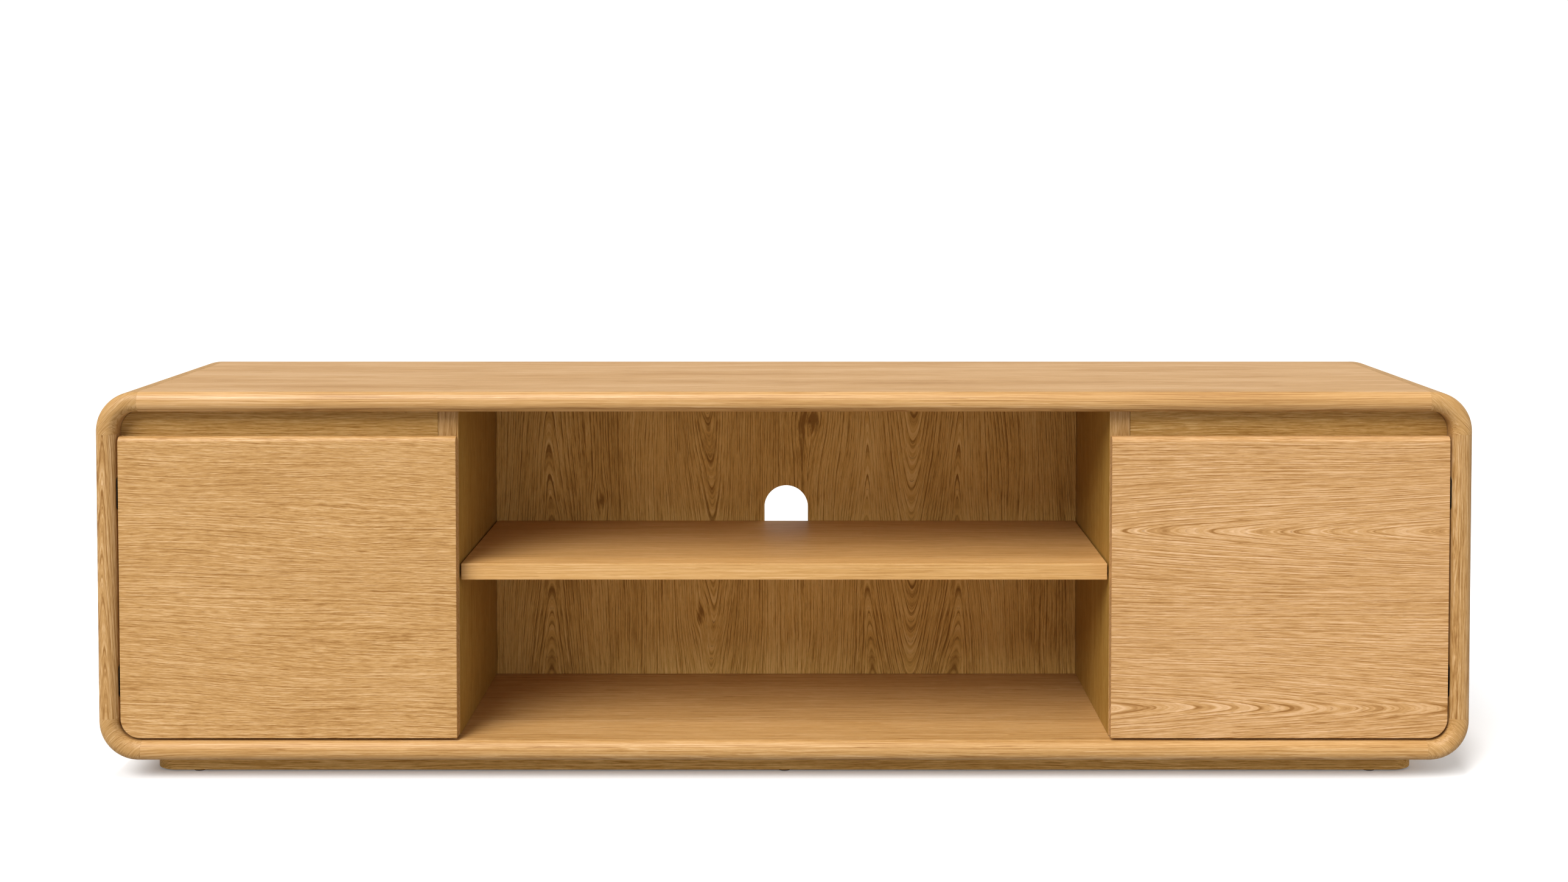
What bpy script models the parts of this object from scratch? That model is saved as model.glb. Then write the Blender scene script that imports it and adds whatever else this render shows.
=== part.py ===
# Low media cabinet: a rounded case on a set-back plinth, an open niche with a shelf between
# two side-hung doors, concealed link hinges, magnetic catches, shelf pins and floor glides.
# Metres. X runs across the cabinet, -Y is its front and +Z is up; the origin is on the floor.

import math

import bmesh
import bpy
from mathutils import Matrix, Vector

# Case
WIDTH = 1.800
DEPTH = 0.400
CASE_HEIGHT = 0.486
PANEL = 0.0265            # thickness of the case panels and dividers
CORNER_R = 0.052          # outer radius of the corner blocks
BLOCK_LEG = 0.056         # from an outer face to the joint with the straight panel
NOSE_R = 0.012            # rounding of both front edges
REAR_EASE = 0.002
JOINT_GAP = 0.0003        # between pieces that touch
EASE = 0.0010             # eased edges of flat boards

# Plinth and glides
PLINTH_HEIGHT = 0.024
PLINTH_THICK = 0.018
PLINTH_SIDE_SETBACK = 0.059
PLINTH_FRONT_SETBACK = 0.045
PLINTH_R = 0.030
GLIDE_HEIGHT = 0.002
GLIDE_R = 0.008

# Niche, shelves and backs
NICHE_WIDTH = 0.858
NICHE_SHELF_TOP = 0.229   # above the inner floor
NICHE_SHELF_THICK = 0.0215
NICHE_SHELF_SETBACK = 0.030
SIDE_SHELF_TOP = 0.200
SIDE_SHELF_THICK = 0.018
SIDE_SHELF_SETBACK = 0.042
SHELF_SIDE_GAP = 0.002
SHELF_BACK_GAP = 0.001
BACK_SETBACK = 0.345      # front face of the back panels behind the case's front
BACK_THICK = 0.012
PORT_WIDTH = 0.064
PORT_HEIGHT = 0.120
PORT_RISE = 0.052         # top of a cable port above its shelf

# Shelf pins
PIN_R = 0.0025
PIN_BURIED = 0.010
PIN_SHOWING = 0.009
PIN_INSET = 0.045         # from a shelf's front or back edge
BORE_CLEARANCE = 0.0003

# Doors and the rails above them
DOOR_RECESS = 0.006       # door face behind the case's front
DOOR_THICK = 0.020
DOOR_SIDE_GAP = 0.0025
DOOR_FLOOR_GAP = 0.003
DOOR_BACK_GAP = 0.002     # between a closed door and the divider behind it
FINGER_GAP = 0.0325       # above a door
DOOR_CORNER_R = 0.026
DOOR_SMALL_R = 0.0012
DOOR_LIP_R = 0.0075       # rounding of the top front edge
PULL_BEVEL = 0.0085       # slope behind the top edge, for the fingers
RAIL_HEIGHT = 0.055
RAIL_THICK = 0.020

# Concealed hinges: the door turns about a line in its front plane, halfway across the side gap
HINGE_INSET = 0.075       # centre of a hinge from the door's top or bottom edge
HINGE_HEIGHT = 0.045
HINGE_DEPTH = 0.015
HINGE_FRONT = 0.0032      # from the door's face
HINGE_BACK = 0.0166
LINK_R = 0.013            # mean radius of the curved link
LINK_THICK = 0.0024
LINK_HEIGHT = 0.030
LINK_HALF_ANGLE = math.radians(66)
SLOT_CLEARANCE = 0.0003
SLOT_HALF_ANGLE = math.radians(67.5)

# Catches
MAGNET_R = 0.006
MAGNET_LENGTH = 0.012
MAGNET_PROUD = 0.0006
STRIKE_R = 0.007
STRIKE_THICK = 0.0009
CATCH_DROP = 0.070        # below the door's top edge

# Worked out from the above
FRONT = -DEPTH / 2
REAR = DEPTH / 2
CASE_BOTTOM = GLIDE_HEIGHT + PLINTH_HEIGHT
CASE_TOP = CASE_BOTTOM + CASE_HEIGHT
FLOOR = CASE_BOTTOM + PANEL
CEILING = CASE_TOP - PANEL
SIDE_INNER = WIDTH / 2 - PANEL
INNER_R = CORNER_R - PANEL
NICHE_HALF = NICHE_WIDTH / 2
DIVIDER_OUTER = NICHE_HALF + PANEL
BACK_FRONT = FRONT + BACK_SETBACK
DOOR_FACE = FRONT + DOOR_RECESS
DOOR_BACK = DOOR_FACE + DOOR_THICK
INNER_FRONT = DOOR_BACK + DOOR_BACK_GAP
DOOR_EDGE = SIDE_INNER - DOOR_SIDE_GAP
DOOR_BOTTOM = FLOOR + DOOR_FLOOR_GAP
DOOR_TOP = CEILING - FINGER_GAP
HINGE_AXIS_X = DOOR_EDGE + DOOR_SIDE_GAP / 2
SIDES = {"left": -1, "right": 1}

MATERIALS = {
    "oak": ((0.60, 0.36, 0.17), 0.42, 0.0),
    "oak_back": ((0.36, 0.20, 0.10), 0.55, 0.0),
    "oak_dark": ((0.27, 0.15, 0.08), 0.50, 0.0),
    "steel": ((0.55, 0.55, 0.56), 0.35, 1.0),
    "magnet": ((0.30, 0.30, 0.31), 0.40, 1.0),
    "nylon": ((0.09, 0.08, 0.08), 0.60, 0.0),
}


def material(name):
    made = bpy.data.materials.get(name)
    if made is None:
        colour, roughness, metallic = MATERIALS[name]
        made = bpy.data.materials.new(name)
        made.use_nodes = True
        shader = made.node_tree.nodes["Principled BSDF"]
        shader.inputs["Base Color"].default_value = (*colour, 1.0)
        shader.inputs["Roughness"].default_value = roughness
        shader.inputs["Metallic"].default_value = metallic
        made.diffuse_color = (*colour, 1.0)
    return made


def add_object(name, mesh_builder, finish, smooth_angle=40):
    mesh = bpy.data.meshes.new(name)
    bmesh.ops.recalc_face_normals(mesh_builder, faces=mesh_builder.faces)
    mesh_builder.to_mesh(mesh)
    mesh_builder.free()
    mesh.shade_smooth()
    mesh.set_sharp_from_angle(angle=math.radians(smooth_angle))
    made = bpy.data.objects.new(name, mesh)
    made.data.materials.append(material(finish))
    bpy.context.scene.collection.objects.link(made)
    return made


def add_loft(builder, rings):
    """A closed solid through rings that have the same number of points."""
    loops = [[builder.verts.new(point) for point in ring] for ring in rings]
    for first, second in zip(loops, loops[1:]):
        for i, corner in enumerate(first):
            following = (i + 1) % len(first)
            builder.faces.new((corner, first[following], second[following], second[i]))
    builder.faces.new(loops[0])
    builder.faces.new(loops[-1])


def loft(name, rings, finish):
    builder = bmesh.new()
    add_loft(builder, rings)
    return add_object(name, builder, finish)


def board(name, low, high, finish, ease=EASE):
    """A straight board between two corners, with its edges eased."""
    builder = bmesh.new()
    size = [top - bottom for bottom, top in zip(low, high)]
    centre = [(top + bottom) / 2 for bottom, top in zip(low, high)]
    placing = Matrix.Translation(centre) @ Matrix.Diagonal((*size, 1))
    bmesh.ops.create_cube(builder, size=1, matrix=placing)
    if ease:
        bmesh.ops.bevel(builder, geom=builder.edges[:], offset=ease, segments=1, affect="EDGES")
    return add_object(name, builder, finish, smooth_angle=20)


def add_rod(builder, start, end, radius, sides):
    start, end = Vector(start), Vector(end)
    along = end - start
    turn = along.to_track_quat("Z", "Y").to_matrix().to_4x4()
    placing = Matrix.Translation((start + end) / 2) @ turn
    bmesh.ops.create_cone(builder, cap_ends=True, segments=sides, radius1=radius, radius2=radius,
                          depth=along.length, matrix=placing)


def rod(name, start, end, radius, finish, sides=16):
    builder = bmesh.new()
    add_rod(builder, start, end, radius, sides)
    return add_object(name, builder, finish)


def cutter(name, builder):
    """A shape that is only cut away from others."""
    made = add_object(name, builder, "nylon")
    made.hide_render = True
    made.display_type = "WIRE"
    return made


def cut(target, tool):
    difference = target.modifiers.new("cut_" + tool.name, "BOOLEAN")
    difference.operation = "DIFFERENCE"
    difference.solver = "EXACT"
    difference.object = tool


def arc(centre, radius, start, end, steps):
    """Points on an arc, angles in radians, both ends included."""
    angles = [start + (end - start) * i / steps for i in range(steps + 1)]
    return [(centre[0] + radius * math.cos(a), centre[1] + radius * math.sin(a)) for a in angles]


def rounded_outline(low, high, radii, steps=6):
    """A rectangle whose corners have their own radii: lower left, lower right, upper right, upper left."""
    (x0, y0), (x1, y1) = low, high
    corners = ((x0, y0, 1, 1), (x1, y0, -1, 1), (x1, y1, -1, -1), (x0, y1, 1, -1))
    points = []
    for number, (x, y, inward_x, inward_y) in enumerate(corners):
        radius = radii[number]
        if radius == 0:
            points.append((x, y))
            continue
        start = math.pi * (1 + number / 2)
        centre = (x + inward_x * radius, y + inward_y * radius)
        points += arc(centre, radius, start, start + math.pi / 2, steps)
    return points


# Case: one section, a board's thickness by the cabinet's depth, is run straight for a panel and
# turned round a corner for a block.

def case_section():
    """Points as (distance in from the outer face, depth), with the front nose and rear edges."""
    quarter = math.pi / 2
    nose_depth = FRONT + NOSE_R
    outer_nose = arc((NOSE_R, nose_depth), NOSE_R, -math.pi, -quarter, 5)
    inner_nose = arc((PANEL - NOSE_R, nose_depth), NOSE_R, -quarter, 0, 5)
    rear = [(PANEL, REAR - REAR_EASE), (PANEL - REAR_EASE, REAR), (REAR_EASE, REAR), (0, REAR - REAR_EASE)]
    return outer_nose + inner_nose + rear


def make_case():
    section = case_section()
    straight_x = WIDTH / 2 - BLOCK_LEG - JOINT_GAP
    for name, outer, inward in (("top_panel", CASE_TOP, -1), ("bottom_panel", CASE_BOTTOM, 1)):
        rings = [[(x, y, outer + inward * t) for t, y in section] for x in (-straight_x, straight_x)]
        loft(name, rings, "oak")

    low = CASE_BOTTOM + BLOCK_LEG + JOINT_GAP
    high = CASE_TOP - BLOCK_LEG - JOINT_GAP
    for side, sign in SIDES.items():
        rings = [[(sign * (WIDTH / 2 - t), y, z) for t, y in section] for z in (low, high)]
        loft(side + "_side_panel", rings, "oak")

    leg = BLOCK_LEG - CORNER_R
    for side, sign in SIDES.items():
        for level, up in (("top", 1), ("bottom", -1)):
            centre_x = WIDTH / 2 - CORNER_R
            centre_z = CASE_TOP - CORNER_R if up > 0 else CASE_BOTTOM + CORNER_R
            stations = [(0, 0, -leg)]
            stations += [(math.pi / 2 * i / 8, 0, 0) for i in range(9)]
            stations += [(math.pi / 2, -leg, 0)]
            rings = []
            for angle, shift_x, shift_z in stations:
                across, rise = math.cos(angle), math.sin(angle)
                rings.append([(sign * (centre_x + (CORNER_R - t) * across + shift_x), y,
                               centre_z + up * ((CORNER_R - t) * rise + shift_z)) for t, y in section])
            loft(f"{side}_{level}_corner_block", rings, "oak")


def make_dividers_and_rails():
    low, high = FLOOR + JOINT_GAP, CEILING - JOINT_GAP
    for side, sign in SIDES.items():
        xs = sorted((sign * NICHE_HALF, sign * DIVIDER_OUTER))
        board(side + "_divider", (xs[0], INNER_FRONT, low), (xs[1], BACK_FRONT + BACK_THICK, high), "oak")

        inner, outer = DIVIDER_OUTER + JOINT_GAP, SIDE_INNER - JOINT_GAP
        outline = rounded_outline((inner, high - RAIL_HEIGHT), (outer, high), (0, 0, INNER_R - JOINT_GAP, 0))
        rings = [[(sign * x, y, z) for x, z in outline] for y in (INNER_FRONT, INNER_FRONT + RAIL_THICK)]
        loft(side + "_top_rail", rings, "oak")


def port_centres():
    """Middle of each cable port as (x, z)."""
    side_x = (DIVIDER_OUTER + SIDE_INNER) / 2
    niche_z = FLOOR + NICHE_SHELF_TOP + PORT_RISE - PORT_HEIGHT / 2
    side_z = FLOOR + SIDE_SHELF_TOP + PORT_RISE - PORT_HEIGHT / 2
    return ((-side_x, side_z), (0, niche_z), (side_x, side_z))


def make_backs():
    low, high = FLOOR + JOINT_GAP, CEILING - JOINT_GAP
    depths = (BACK_FRONT, BACK_FRONT + BACK_THICK)
    inner, outer = DIVIDER_OUTER + JOINT_GAP, SIDE_INNER - JOINT_GAP
    outline = rounded_outline((inner, low), (outer, high), (0, INNER_R - JOINT_GAP, INNER_R - JOINT_GAP, 0))
    backs = []
    for side, sign in SIDES.items():
        rings = [[(sign * x, y, z) for x, z in outline] for y in depths]
        backs.append(loft(side + "_back_panel", rings, "oak_back"))
    middle = NICHE_HALF - JOINT_GAP
    backs.append(board("centre_back_panel", (-middle, depths[0], low), (middle, depths[1], high),
                       "oak_back", ease=0))

    builder = bmesh.new()
    half_wide, half_tall = PORT_WIDTH / 2, PORT_HEIGHT / 2
    for x, z in port_centres():
        outline = rounded_outline((x - half_wide, z - half_tall), (x + half_wide, z + half_tall),
                                  [half_wide] * 4, steps=8)
        distinct = [p for i, p in enumerate(outline) if math.dist(p, outline[i - 1]) > 1e-6]
        add_loft(builder, [[(px, y, pz) for px, pz in distinct] for y in (depths[0] - 0.01, depths[1] + 0.01)])
    ports = cutter("port_cutter", builder)
    for back in backs:
        cut(back, ports)


def make_plinth():
    half = WIDTH / 2 - PLINTH_SIDE_SETBACK
    front = FRONT + PLINTH_FRONT_SETBACK
    low, high = GLIDE_HEIGHT, CASE_BOTTOM - JOINT_GAP
    quarter = math.pi / 2
    inner_r = PLINTH_R - PLINTH_THICK
    right, left = (half - PLINTH_R, front + PLINTH_R), (-half + PLINTH_R, front + PLINTH_R)
    outer_side = arc(left, PLINTH_R, -math.pi, -quarter, 6) + arc(right, PLINTH_R, -quarter, 0, 6)
    inner_side = arc(right, inner_r, 0, -quarter, 6) + arc(left, inner_r, -quarter, -math.pi, 6)
    outline = outer_side + inner_side
    for name, facing in (("front", 1), ("back", -1)):
        rings = [[(x, facing * y, z) for x, y in outline] for z in (low, high)]
        loft(f"plinth_{name}_rail", rings, "oak_dark")
    reach = -(front + PLINTH_R) - JOINT_GAP
    for side, sign in SIDES.items():
        xs = sorted((sign * half, sign * (half - PLINTH_THICK)))
        board(f"plinth_{side}_rail", (xs[0], -reach, low), (xs[1], reach, high), "oak_dark", ease=0)

    number = 0
    for facing in (1, -1):
        for x in (-half + 2 * PLINTH_R, 0, half - 2 * PLINTH_R):
            number += 1
            y = facing * (front + PLINTH_THICK / 2)
            rod(f"floor_glide_{number}", (x, y, 0), (x, y, GLIDE_HEIGHT - JOINT_GAP), GLIDE_R, "nylon")


def shelves():
    """Each shelf's name, side walls, height above the floor, thickness and setback."""
    wall = DIVIDER_OUTER, SIDE_INNER
    return (("niche", -NICHE_HALF, NICHE_HALF, NICHE_SHELF_TOP, NICHE_SHELF_THICK, NICHE_SHELF_SETBACK),
            ("left", -wall[1], -wall[0], SIDE_SHELF_TOP, SIDE_SHELF_THICK, SIDE_SHELF_SETBACK),
            ("right", wall[0], wall[1], SIDE_SHELF_TOP, SIDE_SHELF_THICK, SIDE_SHELF_SETBACK))


def make_shelves():
    """Shelves on their pins; the pins' holes are cut in the panels that hold them."""
    bores = bmesh.new()
    for name, wall_left, wall_right, top, thick, setback in shelves():
        front, back = FRONT + setback, BACK_FRONT - SHELF_BACK_GAP
        top_z = FLOOR + top
        board(name + "_shelf", (wall_left + SHELF_SIDE_GAP, front, top_z - thick),
              (wall_right - SHELF_SIDE_GAP, back, top_z), "oak")
        pin_z = top_z - thick - JOINT_GAP - PIN_R
        number = 0
        for wall, inward in ((wall_left, 1), (wall_right, -1)):
            for y in (front + PIN_INSET, back - PIN_INSET):
                number += 1
                buried = wall - inward * PIN_BURIED
                rod(f"{name}_shelf_pin_{number}", (buried, y, pin_z),
                    (wall + inward * PIN_SHOWING, y, pin_z), PIN_R, "steel", sides=12)
                add_rod(bores, (buried - inward * BORE_CLEARANCE, y, pin_z), (wall + inward * 0.003, y, pin_z),
                        PIN_R + BORE_CLEARANCE, 12)
    bore_cutter = cutter("pin_bore_cutter", bores)
    for name in ("left_side_panel", "left_divider", "right_divider", "right_side_panel"):
        cut(bpy.data.objects[name], bore_cutter)


def door_outline(inset, drop):
    """A right-hand door seen from the front, drawn in by inset and with its top lowered by drop."""
    low = (NICHE_HALF + inset, DOOR_BOTTOM + inset)
    high = (DOOR_EDGE - inset, DOOR_TOP - drop)
    radii = (DOOR_SMALL_R, DOOR_CORNER_R - inset, DOOR_SMALL_R, DOOR_SMALL_R)
    return rounded_outline(low, high, radii, steps=8)


def make_doors():
    stations = []             # depth behind the face, inset of the edges, drop of the top edge
    for i in range(5):
        angle = math.pi / 2 * i / 4
        depth = DOOR_LIP_R * (1 - math.cos(angle))
        stations.append((depth, EASE if i == 0 else 0, DOOR_LIP_R * (1 - math.sin(angle))))
    stations.append((DOOR_THICK - PULL_BEVEL, 0, 0))
    stations.append((DOOR_THICK - EASE, 0, PULL_BEVEL - EASE))
    stations.append((DOOR_THICK, EASE, PULL_BEVEL))
    for side, sign in SIDES.items():
        rings = [[(sign * x, DOOR_FACE + depth, z) for x, z in door_outline(inset, drop)]
                 for depth, inset, drop in stations]
        loft(side + "_door", rings, "oak")


def hinge_sector(sign, radius_in, radius_out, half_angle, low, high, steps=12):
    """A curved plate about the hinge line, as wide in angle to the side panel as to the door."""
    centre = (0, 0)
    inner = arc(centre, radius_in, math.pi / 2 - half_angle, math.pi / 2 + half_angle, steps)
    outer = arc(centre, radius_out, math.pi / 2 + half_angle, math.pi / 2 - half_angle, steps)
    outline = [(sign * HINGE_AXIS_X + x, DOOR_FACE + y) for x, y in inner + outer]
    return [[(x, y, z) for x, y in outline] for z in (low, high)]


def make_hinge(side, level, middle):
    sign = SIDES[side]
    name = f"{side}_{level}_hinge"
    low, high = middle - HINGE_HEIGHT / 2, middle + HINGE_HEIGHT / 2
    halves = []
    for half, near, far in (("door", DOOR_EDGE, DOOR_EDGE - HINGE_DEPTH),
                            ("frame", SIDE_INNER, SIDE_INNER + HINGE_DEPTH)):
        xs = sorted((sign * near, sign * far))
        halves.append(board(f"{name}_{half}_half", (xs[0], DOOR_FACE + HINGE_FRONT, low),
                            (xs[1], DOOR_FACE + HINGE_BACK, high), "steel", ease=0))

    link_low, link_high = middle - LINK_HEIGHT / 2, middle + LINK_HEIGHT / 2
    loft(name + "_link", hinge_sector(sign, LINK_R - LINK_THICK / 2, LINK_R + LINK_THICK / 2,
                                      LINK_HALF_ANGLE, link_low, link_high), "steel")
    reach = LINK_THICK / 2 + SLOT_CLEARANCE
    slot = bmesh.new()
    add_loft(slot, hinge_sector(sign, LINK_R - reach, LINK_R + reach, SLOT_HALF_ANGLE,
                                link_low - SLOT_CLEARANCE, link_high + SLOT_CLEARANCE))
    slot_cutter = cutter(name + "_slot_cutter", slot)
    for half in halves:
        cut(half, slot_cutter)

    pocket = bmesh.new()
    xs = sorted((sign * (DOOR_EDGE - HINGE_DEPTH - JOINT_GAP), sign * (SIDE_INNER + HINGE_DEPTH + JOINT_GAP)))
    ys = (DOOR_FACE + HINGE_FRONT - JOINT_GAP, DOOR_FACE + HINGE_BACK + JOINT_GAP)
    add_loft(pocket, [[(xs[0], ys[0], z), (xs[1], ys[0], z), (xs[1], ys[1], z), (xs[0], ys[1], z)]
                      for z in (low - JOINT_GAP, high + JOINT_GAP)])
    pocket_cutter = cutter(name + "_pocket_cutter", pocket)
    cut(bpy.data.objects[side + "_door"], pocket_cutter)
    cut(bpy.data.objects[side + "_side_panel"], pocket_cutter)


def make_catch(side):
    sign = SIDES[side]
    x, z = sign * (NICHE_HALF + PANEL / 2), DOOR_TOP - CATCH_DROP
    magnet_front = INNER_FRONT - MAGNET_PROUD
    rod(side + "_catch_magnet", (x, magnet_front, z), (x, magnet_front + MAGNET_LENGTH, z),
        MAGNET_R, "magnet")
    rod(side + "_strike_plate", (x, DOOR_BACK + JOINT_GAP, z), (x, DOOR_BACK + STRIKE_THICK, z),
        STRIKE_R, "steel")
    bore = bmesh.new()
    add_rod(bore, (x, INNER_FRONT - 0.003, z), (x, magnet_front + MAGNET_LENGTH + BORE_CLEARANCE, z),
            MAGNET_R + BORE_CLEARANCE, 16)
    cut(bpy.data.objects[side + "_divider"], cutter(side + "_magnet_cutter", bore))


def main():
    for old in list(bpy.data.objects):
        bpy.data.objects.remove(old, do_unlink=True)
    make_case()
    make_dividers_and_rails()
    make_backs()
    make_plinth()
    make_shelves()
    make_doors()
    for side in SIDES:
        make_hinge(side, "upper", DOOR_TOP - HINGE_INSET)
        make_hinge(side, "lower", DOOR_BOTTOM + HINGE_INSET)
        make_catch(side)


main()
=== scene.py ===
import math

import bpy
from mathutils import Matrix, Vector


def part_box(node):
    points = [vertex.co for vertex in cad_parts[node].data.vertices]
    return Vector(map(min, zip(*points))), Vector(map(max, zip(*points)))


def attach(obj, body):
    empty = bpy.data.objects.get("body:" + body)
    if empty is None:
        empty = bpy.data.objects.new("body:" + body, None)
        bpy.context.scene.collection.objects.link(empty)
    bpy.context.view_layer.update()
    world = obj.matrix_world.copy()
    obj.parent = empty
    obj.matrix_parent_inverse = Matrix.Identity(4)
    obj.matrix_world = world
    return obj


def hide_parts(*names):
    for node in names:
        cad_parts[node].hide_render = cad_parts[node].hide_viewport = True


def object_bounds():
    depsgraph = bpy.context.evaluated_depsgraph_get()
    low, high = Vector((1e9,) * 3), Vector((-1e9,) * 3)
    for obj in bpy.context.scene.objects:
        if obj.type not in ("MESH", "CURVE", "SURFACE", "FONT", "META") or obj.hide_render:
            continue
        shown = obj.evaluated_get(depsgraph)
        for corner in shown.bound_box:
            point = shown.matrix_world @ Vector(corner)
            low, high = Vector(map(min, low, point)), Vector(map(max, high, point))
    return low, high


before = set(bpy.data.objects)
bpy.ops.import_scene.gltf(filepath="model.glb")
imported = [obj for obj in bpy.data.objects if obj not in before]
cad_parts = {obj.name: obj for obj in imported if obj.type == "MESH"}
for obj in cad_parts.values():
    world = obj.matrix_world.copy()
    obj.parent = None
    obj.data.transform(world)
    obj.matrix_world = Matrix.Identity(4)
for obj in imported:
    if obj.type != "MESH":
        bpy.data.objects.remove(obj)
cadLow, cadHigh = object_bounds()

tiny = 0.00005                       # metres, for finding faces and edges by their place
sides = {"left": -1, "right": 1}


class Wire:
    # one socket that can be used in sums like a number
    def __init__(self, finish, socket):
        self.finish = finish
        self.socket = socket

    def maths(self, operation, *values):
        return self.finish.maths(operation, *values)

    def __add__(self, other):
        return self.maths("ADD", self, other)

    __radd__ = __add__

    def __sub__(self, other):
        return self.maths("SUBTRACT", self, other)

    def __rsub__(self, other):
        return self.maths("SUBTRACT", other, self)

    def __mul__(self, other):
        return self.maths("MULTIPLY", self, other)

    __rmul__ = __mul__

    def __pow__(self, other):
        return self.maths("POWER", self, other)

    def fraction(self):
        return self.maths("FRACT", self)

    def whole(self):
        return self.maths("FLOOR", self)

    def exponential(self):
        return self.maths("EXPONENT", self)

    def between(self, low, high):
        # 0 below low, 1 above high and a soft step from one to the other
        return self.finish.node("MapRange", {"interpolation_type": "SMOOTHSTEP"},
                                {"Value": self, "From Min": low, "From Max": high})


class Finish:
    # a material or the surround, and the nodes that feed its shader
    def __init__(self, owner, shader="Principled BSDF"):
        self.owner = owner
        owner.use_nodes = True
        self.tree = owner.node_tree
        self.shader = self.tree.nodes[shader]

    def feed(self, socket, value):
        if isinstance(value, Wire):
            self.tree.links.new(value.socket, socket)
        else:
            socket.default_value = value

    def node(self, kind, settings, values, output=0):
        made = self.tree.nodes.new("ShaderNode" + kind)
        for key, value in settings.items():
            if key == "stops":
                elements = made.color_ramp.elements
                elements[0].position, elements[0].color = value[0]
                elements[1].position, elements[1].color = value[-1]
                for place, colour in value[1:-1]:
                    elements.new(place).color = colour
            else:
                setattr(made, key, value)
        for key, value in values.items():
            self.feed(made.inputs[key], value)
        return Wire(self, made.outputs[output])

    def maths(self, operation, *values):
        return self.node("Math", {"operation": operation}, dict(enumerate(values)))

    def mix(self, factor, first, second):
        return self.node("Mix", {"data_type": "RGBA"}, {0: factor, 6: first, 7: second}, 2)

    def ramp(self, factor, stops):
        return self.node("ValToRGB", {"stops": stops}, {"Fac": factor})

    def place(self):
        # where a point of the piece is, in metres along X, Y and Z
        spot = self.node("TexCoord", {}, {}, 3)
        return [self.node("SeparateXYZ", {}, {0: spot}, axis) for axis in range(3)]

    def clouds(self, place, sizes, seed, detail=2.0, roughness=0.5):
        # noise from -0.5 to 0.5, its blobs as long as the sizes along each axis of the place
        scaled = [axis * (1 / size) + seed for axis, size in zip(place, sizes)]
        point = self.node("CombineXYZ", {}, dict(enumerate(scaled)))
        return self.node("TexNoise", {}, {"Vector": point, "Scale": 1.0, "Detail": detail,
                                          "Roughness": roughness}) - 0.5


def grey(value):
    return (value, value, value, 1)


studio = {
    "camera": (0.0249, -2.7683, 0.8127),
    "tiltDown": 1.968,               # degrees
    "lens": 45.45,
    "shift": (-0.01212, -0.135),
    "white": 1.02,                   # the surround, as it is seen
    "fill": 0.40,                    # the surround, as it lights the object
    "suns": {                        # where each comes from, its power and how wide it is in degrees
        "key": ((-0.62, -1.0, 1.05), 3.1, 38),
        "glint": ((-0.12, -0.32, 1.0), 0.8, 8),
        "rearFill": ((0.7, 1.0, 0.28), 1.3, 60),
        "sideFill": ((1.0, -0.55, 0.25), 0.5, 60),
    },
    "floorSpan": 120.0,
    "floorSeen": 0.94,
    "floorThrown": 0.42,
    "floorGlow": 0.10,
}


def seenAndThrown(finish, seen, thrown):
    # one value for what is seen, another for the light thrown on the object
    rays = finish.node("LightPath", {}, {})
    return finish.node("MapRange", {}, {"Value": rays, "To Min": thrown, "To Max": seen})


def makeStudio():
    turn = (math.radians(90 - studio["tiltDown"]), 0, 0)
    bpy.ops.object.camera_add(location=studio["camera"], rotation=turn)
    camera = bpy.context.object
    camera.data.lens = studio["lens"]
    camera.data.shift_x, camera.data.shift_y = studio["shift"]
    bpy.context.scene.camera = camera

    surround = Finish(bpy.data.worlds.new("studioSurround"), "Background")
    bpy.context.scene.world = surround.owner
    surround.shader.inputs["Color"].default_value = (1, 1, 1, 1)
    surround.feed(surround.shader.inputs["Strength"],
                  seenAndThrown(surround, studio["white"], studio["fill"]))

    for name, (source, power, width) in studio["suns"].items():
        bpy.ops.object.light_add(type="SUN", location=source)
        sun = bpy.context.object
        sun.name = name
        sun.data.energy = power
        sun.data.angle = math.radians(width)
        sun.visible_glossy = name in ("key", "glint")
        sun.rotation_euler = Vector(source).to_track_quat("Z", "Y").to_euler()

    bpy.ops.mesh.primitive_plane_add(size=studio["floorSpan"])
    floor = bpy.context.object
    floor.name = "studioFloor"
    plain = Finish(bpy.data.materials.new("studioFloor"))
    plain.feed(plain.shader.inputs["Base Color"],
               seenAndThrown(plain, studio["floorSeen"], studio["floorThrown"]))
    plain.feed(plain.shader.inputs["Emission Color"], seenAndThrown(plain, studio["floorGlow"], 0.0))
    plain.shader.inputs["Emission Strength"].default_value = 1.0
    plain.shader.inputs["Roughness"].default_value = 1.0
    plain.shader.inputs["Specular IOR Level"].default_value = 0.0
    floor.data.materials.append(plain.owner)
    bpy.context.scene.view_settings.view_transform = "Standard"
    print("studio ready")


# Fibres run along the first axis of "run", growth rings stack up across the second, and
# "face" is where the third axis meets the face that shows. A figure is an arched cathedral:
# its centre line, where along it is strongest, how blunt its arches are, and how long they
# are, with a sign for the way they point. Figures are listed in order across the board.
oakBase = {
    "run": "xzy",
    "face": 0.0,
    "ringGap": 0.0030,
    "slope": 0.0,
    "turn": 0.8,
    "sway": 0.020,
    "wobble": 0.0014,
    "figures": (),
    "knots": (),                     # across, along and size of each
    "seed": 3.0,
    "rings": 0.55,
    "fine": 1.75,
    "fineLength": 0.026,
    "coarse": 0.60,
    "broad": 0.30,
    "flecks": 0.35,
    "dashes": 0.55,
    "grooves": 0.42,
    "pores": 0.45,
    "dark": (0.295, 0.130, 0.027),
    "middle": (0.525, 0.290, 0.097),
    "light": (0.705, 0.448, 0.220),
    "pore": (0.210, 0.088, 0.018),
    "sheen": 0.32,
    "roughness": (0.36, 0.54),
    "relief": 0.25,
}


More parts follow.
